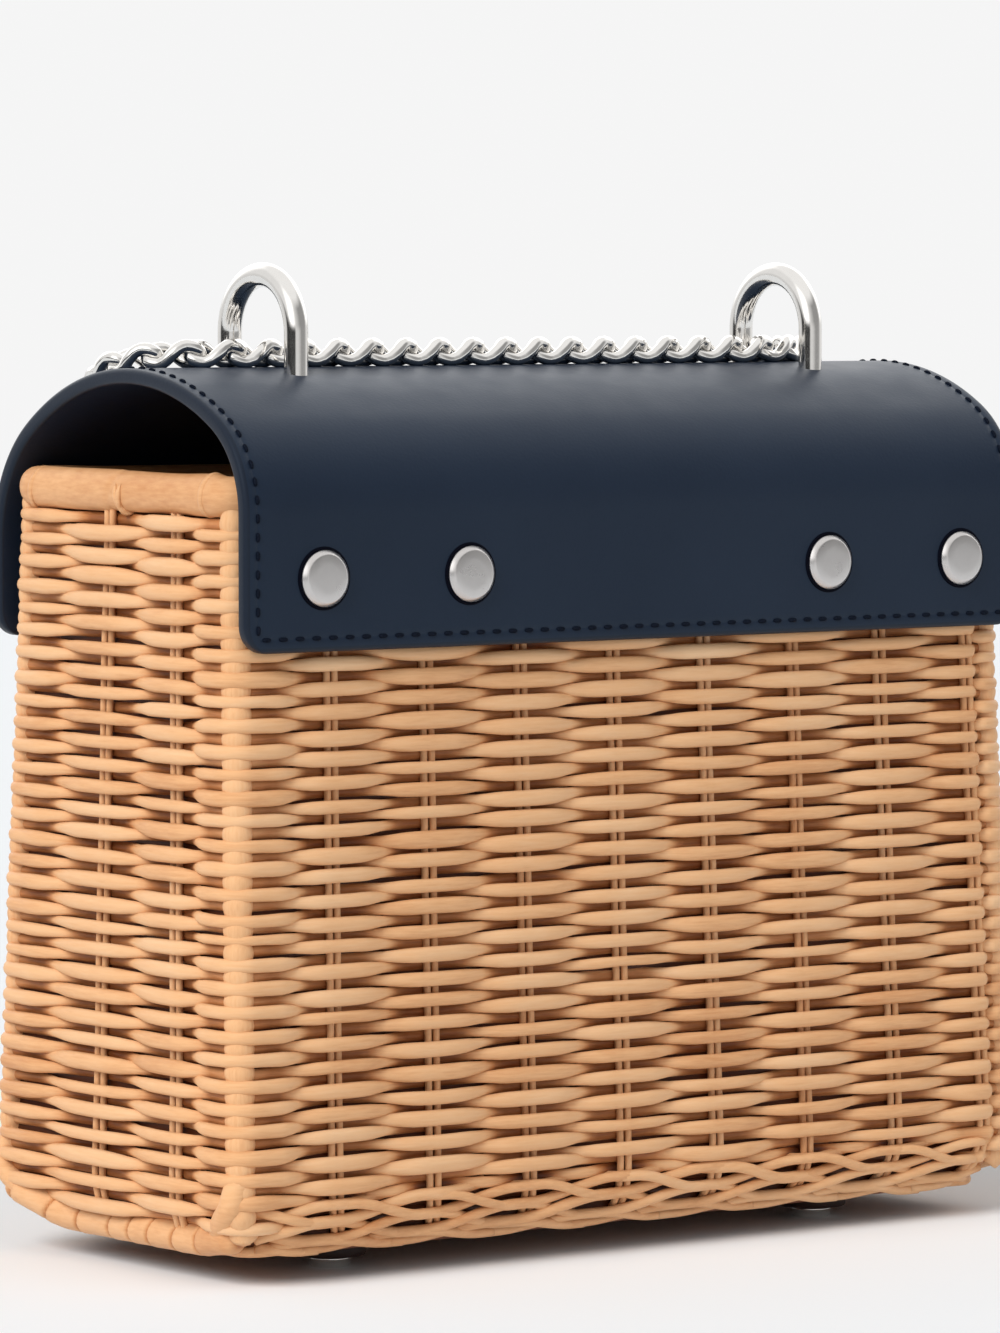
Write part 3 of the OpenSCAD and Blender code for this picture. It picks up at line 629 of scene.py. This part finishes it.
for sx in (1, -1):
    y = np.linspace(-CORE_D - WRAP_PAST, CORE_D + WRAP_PAST, 220)
    turn = np.clip((np.abs(y) - CORE_D + WRAP_TURN_FROM) / WRAP_TURN_SPAN, 0, 1) * WRAP_TURN * np.sign(y)
    angle = turn if sx > 0 else 180 - turn
    lift = FAR_LIFT * smooth((-sx * y - FAR_FROM) / FAR_SPAN)
    lift = lift + NEAR_LIFT * smooth((sx * y - NEAR_FROM) / NEAR_SPAN)
    path = on_wall(sx * CORE_L, np.clip(y, -CORE_D, CORE_D), angle, BASE_Z + WRAP_RISE + lift, WRAP_OUT)
    length = np.r_[0, np.cumsum(np.linalg.norm(np.diff(path, axis=0), axis=1))]
    radius = np.full((len(path), WRAP_SIDES), WRAP_R)
    tone = np.full((len(path), WRAP_SIDES), WRAP_TONE)
    for cut in np.cumsum(CUT_STEP + CUT_SPREAD * rng.random(CUTS)) + CUT_START:
        gap = length[:, None] - cut - CUT_SLANT * np.sin(around(WRAP_SIDES) + CUT_TURN)
        crease = np.exp(-(gap / CREASE_W) ** 2)
        radius *= 1 - CREASE_DEPTH * crease
        radius *= np.where(gap > 0, 1 + LAP * np.exp(-np.abs(gap) / LAP_L), 1.0)
        tone = np.where(gap > 0, WRAP_TONE + chance(LAP_TONE_UNEVEN), tone) - CREASE_SHADE * crease
    radius *= taper(length, WRAP_TAPER)[:, None]
    build.rod(path, (0, 0, 1), radius, radius, WRAP_SIDES, tone)
    for sy in (1, -1):
        f = np.linspace(0, 1, 24)
        heel_angle = 90 * (1 - sx) + sx * sy * (HEEL_ANGLE - HEEL_SWING * smooth(f))
        heel_y = sy * (CORE_D - HEEL_IN * smooth((f - HEEL_IN_FROM) / (1 - HEEL_IN_FROM)))
        out = HEEL_OUT + HEEL_BULGE * np.sin(np.pi * f) ** 2 + HEEL_END_OUT * f
        path = on_wall(sx * CORE_L, heel_y, heel_angle, HEEL_Z - HEEL_DROP * f, out)
        heel_r = HEEL_R - HEEL_THIN * f - HEEL_TIP * smooth((f - HEEL_TIP_FROM) / (1 - HEEL_TIP_FROM))
        build.rod(path, (sx, sy, 0), heel_r, HEEL_FLAT * heel_r, HEEL_SIDES, HEEL_TONE)
rolls = build.piece("end_rolls", strand_mat)
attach(rolls, "basket")


# The leather cover: one sheet from the back panel over the lid to the front edge

back_c = np.array([BACK_OUT - BACK_R, BACK_FOLD_Z])
front_c = np.array([FRONT_R - FRONT_OUT, FRONT_FOLD_Z])
fold_gap = np.linalg.norm(front_c - back_c)
fold_dir = (front_c - back_c) / fold_gap
to_foot = ((CROWN_R - BACK_R) ** 2 - (CROWN_R - FRONT_R) ** 2 + fold_gap ** 2) / (2 * fold_gap)
foot_to_c = math.sqrt((CROWN_R - BACK_R) ** 2 - to_foot ** 2)
crown_c = back_c + to_foot * fold_dir + foot_to_c * np.array([-fold_dir[1], fold_dir[0]])
CROWN_Z = crown_c[1] + CROWN_R
LOOP_Y = crown_c[0]


def ray_angle(c):
    """Angle from the vertical of the ray from the crown's centre to another centre."""
    return math.atan2(c[0] - crown_c[0], c[1] - crown_c[1])


back_turn, front_turn = ray_angle(back_c), -ray_angle(front_c)
RUNS = [BACK_FOLD_Z - COVER_Z, BACK_R * (math.pi / 2 - back_turn), CROWN_R * (back_turn + front_turn),
        FRONT_R * (math.pi / 2 - front_turn), FRONT_FOLD_Z - COVER_Z]
MARKS = np.r_[0, np.cumsum(RUNS)]
SHEET = MARKS[-1]
ARCS = ((1, 2, back_c, BACK_R, math.pi / 2), (2, 3, crown_c, CROWN_R, back_turn),
        (3, 4, front_c, FRONT_R, -front_turn))


def sheet_at(s):
    """Outer face of the cover at a distance from the back's lower edge: y, z and the normal in that plane."""
    s = np.asarray(s, float)
    y, z, t = np.zeros(s.shape), np.zeros(s.shape), np.zeros(s.shape)
    here = s <= MARKS[1]
    y[here], z[here], t[here] = BACK_OUT, COVER_Z + s[here], math.pi / 2
    for start, end, centre, radius, first in ARCS:
        here = (s > MARKS[start]) & (s <= MARKS[end])
        t[here] = first - (s[here] - MARKS[start]) / radius
        y[here], z[here] = centre[0] + radius * np.sin(t[here]), centre[1] + radius * np.cos(t[here])
    here = s > MARKS[4]
    y[here], z[here], t[here] = -FRONT_OUT, FRONT_FOLD_Z - (s[here] - MARKS[4]), -math.pi / 2
    return y, z, np.sin(t), np.cos(t)


def corner_inset(from_low):
    """How far the rounded corner draws the cover's end in at a distance from its lower edge."""
    in_corner = np.clip(COVER_CORNER - from_low, 0, None)
    return COVER_CORNER - np.sqrt(np.clip(COVER_CORNER ** 2 - in_corner ** 2, 0, None))


EDGE_R, EDGE_PAINT = 1.1, 1.2


def rounded(distance):
    """How far a face lies under the flat at a distance from an edge."""
    distance = np.clip(distance, 0, EDGE_R)
    return EDGE_R - np.sqrt(EDGE_R ** 2 - (EDGE_R - distance) ** 2)


# Distances from the lower edges and from the ends at which the sheet has points: close together on the
# rounded edge and on the groove of the seam
SEAM_END, SEAM_LOW, GROOVE = 3.2, 3.0, 0.12
GROOVE_END_W, GROOVE_LOW_W, GROOVE_PAST = 0.45, 0.4, 0.3
LOW_STEPS = np.array([0, 0.08, 0.3, 0.65, 1.1, 1.8, 2.4, 2.75, 3.0, 3.25, 3.6, 4.5, 5.2, 6.0])
END_STEPS = np.array([0, 0.08, 0.3, 0.65, 1.1, 1.9, 2.65, 2.95, 3.2, 3.45, 3.75, 4.6, 6.0, 8.0])
MIDDLE_FROM = 7.5
rows = np.r_[LOW_STEPS, np.linspace(MIDDLE_FROM, SHEET - MIDDLE_FROM, 130), SHEET - LOW_STEPS[::-1]]
inner = np.linspace(0, 1, 40)[1:-1]
from_low = np.minimum(rows, SHEET - rows)
points, from_edge = [], []
halves = COVER_L / 2 - corner_inset(from_low)
for low, half, y, z, normal_y, normal_z in zip(from_low, halves, *sheet_at(rows)):
    inner_half = half - END_STEPS[-1]
    x = np.r_[half - END_STEPS, inner_half - 2 * inner_half * inner, -(half - END_STEPS[::-1])]
    from_end = half - np.abs(x)
    sink = np.maximum(rounded(from_end), rounded(low))
    seam_end = np.exp(-((from_end - SEAM_END) / GROOVE_END_W) ** 2) * (low > SEAM_LOW - GROOVE_PAST)
    seam_low = math.exp(-((low - SEAM_LOW) / GROOVE_LOW_W) ** 2) * (from_end > SEAM_END - GROOVE_PAST)
    outer = sink + GROOVE * np.maximum(seam_end, seam_low)
    under = COVER_T - sink
    points.append(np.stack([x, y - outer * normal_y, z - outer * normal_z], -1))
    points.append(np.stack([x, y - under * normal_y, z - under * normal_z], -1)[::-1])
    from_edge.append(np.minimum(np.r_[from_end, from_end[::-1]], low))
ring = len(from_edge[0])
faces = grid_faces(len(rows), ring, False)
for k in range(ring // 2 - 1):
    strip = [k, k + 1, ring - 2 - k, ring - 1 - k]
    faces += [strip, [(len(rows) - 1) * ring + i for i in strip[::-1]]]
from_edge = np.concatenate(from_edge)
painted = [int(max(from_edge[i] for i in face) < EDGE_PAINT) for face in faces]
build = Build()
build.add(np.concatenate(points), [face[::-1] for face in faces], slot=painted)
cover = build.piece("cover", cover_mat, edge_mat)
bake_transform(cover)
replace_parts(cover, "back_panel", "flap")

# Stitches along the seams of the ends and of the lower edges
END_STITCHES, END_STITCH_L = 45, 2.0
LOW_STITCHES, LOW_STITCH_L = 48, 2.2
STITCH_R_ACROSS, STITCH_R_UP, STITCH_ARCH, STITCH_SINK = 0.46, 0.36, 0.22, 0.1
STITCH_AT = np.array([-1, -0.86, -0.5, 0, 0.5, 0.86, 1])
STITCH_TAPER = np.array([0.3, 0.75, 1, 1, 1, 0.75, 0.3])
build = Build()


def stitch(centre, along, up, length):
    along, up = np.asarray(along, float), np.asarray(up, float)
    lift = STITCH_ARCH * (1 - STITCH_AT ** 2) - STITCH_SINK
    path = np.asarray(centre) + (length / 2 * STITCH_AT)[:, None] * along + lift[:, None] * up
    build.rod(path, up, STITCH_R_ACROSS * STITCH_TAPER, STITCH_R_UP * STITCH_TAPER, THIN_SIDES)


def middles(start, end, count):
    """Middles of equal steps from start to end."""
    marks = np.linspace(start, end, count + 1)
    return (marks[:-1] + marks[1:]) / 2


down_seam = middles(SEAM_LOW, SHEET - SEAM_LOW, END_STITCHES)
seam_x = COVER_L / 2 - SEAM_END - corner_inset(np.minimum(down_seam, SHEET - down_seam))
for sx in (1, -1):
    for x, y, z, normal_y, normal_z in zip(seam_x, *sheet_at(down_seam)):
        stitch((sx * x, y, z), (0, normal_z, -normal_y), (0, normal_y, normal_z), END_STITCH_L)
for y, z, normal_y, normal_z in zip(*sheet_at([SEAM_LOW, SHEET - SEAM_LOW])):
    for x in middles(-COVER_L / 2 + SEAM_END, COVER_L / 2 - SEAM_END, LOW_STITCHES):
        stitch((x, y, z), (1, 0, 0), (0, normal_y, normal_z), LOW_STITCH_L)
stitches = build.piece("stitches", thread_mat)
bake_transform(stitches)

# Rivets with a bevelled cap, and a lip of leather pressed up around it, near black with painted shade for the
# dark edge around the cap
SHANK_IN, SHANK_R, RIVET_SIDES = -12.09, 1.7, 64
RIVET = [(SHANK_R, SHANK_IN), (2.6, SHANK_IN + 0.1), (2.72, SHANK_IN + 0.8), (SHANK_R, SHANK_IN + 0.8),
         (SHANK_R, 0.0), (5.9, 0.0), (6.1, 0.08), (6.15, 0.25), (6.15, 0.62), (6.08, 0.78), (5.3, 1.52),
         (5.12, 1.64), (4.85, 1.7), (3.0, 1.74), (0.4, 1.76)]
LIP = [(5.9, 0.02), (6.7, 0.02), (6.85, 0.1), (6.75, 0.24), (6.4, 0.32), (5.9, 0.3)]
build = Build()
for x in RIVET_X:
    build.lathe(RIVET, (x, BACK_OUT, RIVET_Z), (0, 1, 0), (1, 0, 0), RIVET_SIDES)
    build.lathe(LIP, (x, BACK_OUT, RIVET_Z), (0, 1, 0), (1, 0, 0), RIVET_SIDES, slot=1)
rivets = build.piece("rivets", rivet_mat, lip_shade_mat)
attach(rivets, "basket")
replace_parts(rivets, "back_rivets")

# Bar loops, whose legs go through the lid to the nuts
ARCH_Z = CROWN_Z + LOOP_H - (LEG_PITCH + BAR_D) / 2
PLATE_IN = CROWN_R - COVER_T - FIT - PLATE_T
NUT_Z = crown_c[1] + math.sqrt(PLATE_IN ** 2 - ((LEG_PITCH + NUT_D) / 2) ** 2) - FIT
BAR_SIDES = 28
turn = np.linspace(0, np.pi, 40)
leg_z = np.linspace(NUT_Z - NUT_T, ARCH_Z, 10)[:-1]
leg_y = np.full(len(leg_z), LEG_PITCH / 2)
loop_y = LOOP_Y + np.r_[leg_y, LEG_PITCH / 2 * np.cos(turn), -leg_y]
loop_z = np.r_[leg_z, ARCH_Z + LEG_PITCH / 2 * np.sin(turn), leg_z[::-1]]
for name, x in zip(("strap_loop_left", "strap_loop_right"), LOOP_X):
    build = Build()
    path = np.stack([np.full(len(loop_y), x), loop_y, loop_z], -1)
    build.rod(path, (1, 0, 0), BAR_D / 2, BAR_D / 2, BAR_SIDES)
    loop = build.piece(name.replace("strap_", "bar_"), nickel_mat)
    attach(loop, "flap")
    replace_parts(loop, name)

# Feet: a leather disc on a metal stud
DISC_R, DISC_HOLE_R, STUD_SHANK_R, FOOT_SIDES = 8.0, 1.9, 1.7, 48
DISC = [(DISC_HOLE_R, STUD_T), (7.2, STUD_T), (7.7, STUD_T + 0.2), (DISC_R, STUD_T + 0.7),
        (DISC_R, STUD_T + 2.7), (7.75, STUD_T + 3.2), (7.2, STUD_T + 3.45), (DISC_HOLE_R, STUD_T + DISC_T)]
STUD = [(0.4, 0.0), (3.9, 0.0), (4.25, 0.1), (4.9, 1.6), (5.0, 2.0), (4.9, 2.35), (4.6, STUD_T),
        (STUD_SHANK_R, STUD_T), (STUD_SHANK_R, 10.15), (2.7, 10.15), (2.7, 10.8), (STUD_SHANK_R, 10.95)]
disc_build, stud_build = Build(), Build()
for sx in (-1, 1):
    for sy in (-1, 1):
        place = (sx * FOOT_X, sy * FOOT_Y, 0)
        disc_build.lathe(DISC, place, (0, 0, 1), (1, 0, 0), FOOT_SIDES)
        stud_build.lathe(STUD, place, (0, 0, 1), (1, 0, 0), FOOT_SIDES)
discs = disc_build.piece("feet_leather", foot_mat)
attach(discs, "basket")
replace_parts(discs, "foot_discs")
studs = stud_build.piece("feet_studs", nickel_mat)
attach(studs, "basket")
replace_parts(studs, "foot_studs")

# Chain: twisted links on the route of the CAD chain, drawn on the unrolled leather from the crown
LINK_TWIST, LINK_SINK, LINK_WIRE_R = math.pi / 4, 0.15, 1.45
LINK_LIFT = LINK_R * math.sin(LINK_TWIST) + WIRE_D / 2 - LINK_SINK
LINK_POINTS, LINK_SIDES, LINK_SQUARENESS, TWIST_REACH = 40, 12, 0.78, 3.8
CHAIN_PAST_LEFT, CHAIN_PAST_RIGHT, CHAIN_DROP, CHAIN_TURN = 26.0, 16.0, 56.0, 20.0
SWAG = ((0.44, 0.68), (0.22, 0.92), (0, 1), (-0.22, 0.92), (-0.44, 0.68))
ROUTE_STEPS = 24
drape_l, drape_r = LOOP_X[0] + CHAIN_PAST_LEFT, LOOP_X[1] - CHAIN_PAST_RIGHT
drape_mid, drape_w = (drape_l + drape_r) / 2, drape_l - drape_r
turn_in = CHAIN_TURN * (1 - math.cos(math.pi / 4))
route = np.array(
    [(drape_r + CHAIN_TURN, 0), (drape_r + 2 * CHAIN_TURN, 0), (drape_mid, 0),
     (drape_l - 2 * CHAIN_TURN, 0), (drape_l - CHAIN_TURN, 0), (drape_l - turn_in, turn_in),
     (drape_l, CHAIN_TURN)]
    + [(drape_mid + across * drape_w, down * CHAIN_DROP) for across, down in SWAG]
    + [(drape_r, CHAIN_TURN), (drape_r + turn_in, turn_in)])
CROWN_RUN, FOLD_RUN = CROWN_R * front_turn, FRONT_R * (math.pi / 2 - front_turn)


def face_turn(s):
    """How far the leather has turned from level at a distance down the front from the crown."""
    if s < CROWN_RUN:
        return s / CROWN_R
    return min(math.pi / 2, front_turn + (s - CROWN_RUN) / FRONT_R)


def face_point(s):
    """Place of the chain's middle line, in y and z, at a distance down the front from the crown."""
    t = face_turn(s)
    up = np.array([-math.sin(t), math.cos(t)])
    if s < CROWN_RUN:
        return crown_c + (CROWN_R + LINK_LIFT) * up
    if s < CROWN_RUN + FOLD_RUN:
        return front_c + (FRONT_R + LINK_LIFT) * up
    return np.array([-FRONT_OUT - LINK_LIFT, FRONT_FOLD_Z - (s - CROWN_RUN - FOLD_RUN)])


def route_at(u):
    """A smooth closed curve through the points of the route."""
    i = int(math.floor(u))
    f = u - i
    p0, p1, p2, p3 = (route[(i + k) % len(route)] for k in (-1, 0, 1, 2))
    return (p1 + (p2 - p0) * f / 2 + (2 * p0 - 5 * p1 + 4 * p2 - p3) * f * f / 2
            + (3 * p1 - p0 - 3 * p2 + p3) * f ** 3 / 2)


def squared(f):
    """Fills out a circle's sine or cosine towards a rectangle."""
    return np.sign(f) * np.abs(f) ** LINK_SQUARENESS


flat = np.array([route_at(u) for u in np.arange(ROUTE_STEPS * len(route) + 1) / ROUTE_STEPS])
line = np.array([[x, *face_point(down)] for x, down in flat])
run = np.r_[0, np.cumsum(np.linalg.norm(np.diff(line, axis=0), axis=1))]
n_links = 2 * round(run[-1] / LINK_PITCH / 2)
joint_run = np.arange(n_links + 1) * run[-1] / n_links
joints = np.stack([np.interp(joint_run, run, line[:, k]) for k in range(3)], -1)
link_down = np.interp((joint_run[:-1] + joint_run[1:]) / 2, run, flat[:, 1])
link_tip = (LINK_PITCH + LINK_SLACK + WIRE_D) / 2
link_x = link_tip * squared(np.cos(around(LINK_POINTS)))
link_w = LINK_R * squared(np.sin(around(LINK_POINTS)))
twist = -LINK_TWIST * np.sin(np.pi / 2 * np.clip(link_x / TWIST_REACH, -1, 1))
link_path = np.stack([link_x, link_w * np.cos(twist), link_w * np.sin(twist)], -1)
link_up = np.stack([0 * link_x, -np.sin(twist), np.cos(twist)], -1)
build = Build()
for start, end, down in zip(joints[:-1], joints[1:], link_down):
    along = (end - start) / np.linalg.norm(end - start)
    t = face_turn(down)
    side = np.cross((0, -math.sin(t), math.cos(t)), along)
    side /= np.linalg.norm(side)
    axes = np.stack([along, side, np.cross(along, side)])
    path = link_path @ axes + (start + end) / 2
    build.tube(path, *frames(path, True, link_up @ axes), LINK_WIRE_R, LINK_WIRE_R, LINK_SIDES, True)
chain = build.piece("chain_links", nickel_mat)
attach(chain, "flap")
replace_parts(chain, "chain")

# Floor: a pale matt disc, in metres
FLOOR_R, FLOOR_SIDES = 3.0, 96
floor_shader = Shader("studio_floor")
floor_shader.set(Base_Color=(0.918, 0.940, 0.958, 1), Roughness=0.9, Specular_IOR_Level=0.0)
floor_mesh = bpy.data.meshes.new("floor")
floor_mesh.from_pydata([(FLOOR_R * math.cos(q), FLOOR_R * math.sin(q), 0) for q in around(FLOOR_SIDES)], [],
                       [list(range(FLOOR_SIDES))])
floor_mesh.materials.append(floor_shader.material)
new_object("floor", floor_mesh)

# World: a plain backdrop for the camera, an even sky for matt surfaces, and a studio with dark gaps between
# its softboxes for polished ones
SKY, BACKDROP, STUDIO_TOP, STUDIO_GAIN = 0.41, 0.915, 0.52, 2.0
world = bpy.data.worlds.new("studio")
bpy.context.scene.world = world
sky = Tree(world)
even_sky = sky.tree.nodes["Background"]
even_sky.inputs["Color"].default_value = (1, 1, 1, 1)
even_sky.inputs["Strength"].default_value = SKY
backdrop = sky.node("ShaderNodeBackground", {"Color": (BACKDROP, BACKDROP, BACKDROP, 1)})
towards = sky.node("ShaderNodeSeparateXYZ", {0: sky.node("ShaderNodeTexCoord").outputs["Generated"]}).outputs
bearing = sky.math("ARCTAN2", towards["Y"], towards["X"])
bearing_share = sky.math("MULTIPLY_ADD", bearing, 1 / (2 * math.pi), 0.5)


def by_bearing(*levels):
    """Brightness by bearing in degrees, as a share of the studio's gain."""
    stops = [((degrees + 180) / 360, (level / STUDIO_GAIN,) * 3) for degrees, level in levels]
    return sky.ramp(bearing_share, *stops)


def by_height(low, high, z0, z1):
    """Changes from one colour to another between two heights."""
    share = sky.node("ShaderNodeMapRange", {"Value": towards["Z"], "From Min": z0, "From Max": z1}).outputs[0]
    return sky.node("ShaderNodeMix", {0: share, 6: low, 7: high}, data_type="RGBA").outputs[2]


near_floor = by_bearing((-180, 0.9), (-60, 0.82), (-44, 0.7), (-34, 0.04), (44, 0.04), (56, 0.8), (78, 0.75),
                        (108, 0.34), (142, 0.38), (168, 0.9), (180, 0.9))
softboxes = by_bearing((-180, 2.0), (-85, 2.0), (-60, 0.9), (-15, 0.9), (8, 1.9), (30, 1.9), (55, 0.8),
                       (95, 0.35), (150, 0.35), (172, 1.3), (180, 2.0))
walls = by_height(near_floor, softboxes, 0.06, 0.2)
studio = by_height(walls, (STUDIO_TOP, STUDIO_TOP, STUDIO_TOP, 1), 0.6, 0.8)
gloss = sky.node("ShaderNodeBackground", {"Color": studio, "Strength": STUDIO_GAIN})
rays = sky.node("ShaderNodeLightPath").outputs
straight = sky.math("MAXIMUM", rays["Is Camera Ray"], rays["Is Transmission Ray"])
lighting = sky.node("ShaderNodeMixShader",
                    {0: rays["Is Glossy Ray"], 1: even_sky.outputs[0], 2: gloss.outputs[0]})
surface = sky.node("ShaderNodeMixShader", {0: straight, 1: lighting.outputs[0], 2: backdrop.outputs[0]})
sky.tree.links.new(surface.outputs[0], sky.tree.nodes["World Output"].inputs["Surface"])


# Suns, which polished surfaces don't show

def sun(name, towards_it, strength, spread):
    lamp = bpy.data.lights.new(name, "SUN")
    lamp.energy = strength
    lamp.angle = math.radians(spread)
    lit = new_object(name, lamp)
    lit.rotation_euler = Vector(towards_it).to_track_quat("Z", "Y").to_euler()
    lit.visible_glossy = False


sun("key", (0.92, 0.22, 0.68), 2.5, 36)
sun("fill", (-0.15, 0.85, 0.7), 0.5, 60)

# Camera, fitted to the photograph: place in metres, angles in degrees, focal length in widths of the picture
CAMERA_AT, CAMERA_YAW, CAMERA_PITCH = (0.96675, 1.27952, 0.21949), 36.95, 3.24
SENSOR_W, FOCAL_WIDTHS = 36.0, 7.0606
lens = bpy.data.cameras.new("camera")
lens.sensor_fit = "HORIZONTAL"
lens.sensor_width = SENSOR_W
lens.lens = SENSOR_W * FOCAL_WIDTHS
camera = new_object("camera", lens)
camera.location = CAMERA_AT
yaw, pitch = math.radians(CAMERA_YAW), math.radians(CAMERA_PITCH)
aim = Vector((-math.sin(yaw) * math.cos(pitch), -math.cos(yaw) * math.cos(pitch), -math.sin(pitch)))
camera.rotation_euler = aim.to_track_quat("-Z", "Y").to_euler()
bpy.context.scene.camera = camera

bpy.context.scene.view_settings.view_transform = "Standard"
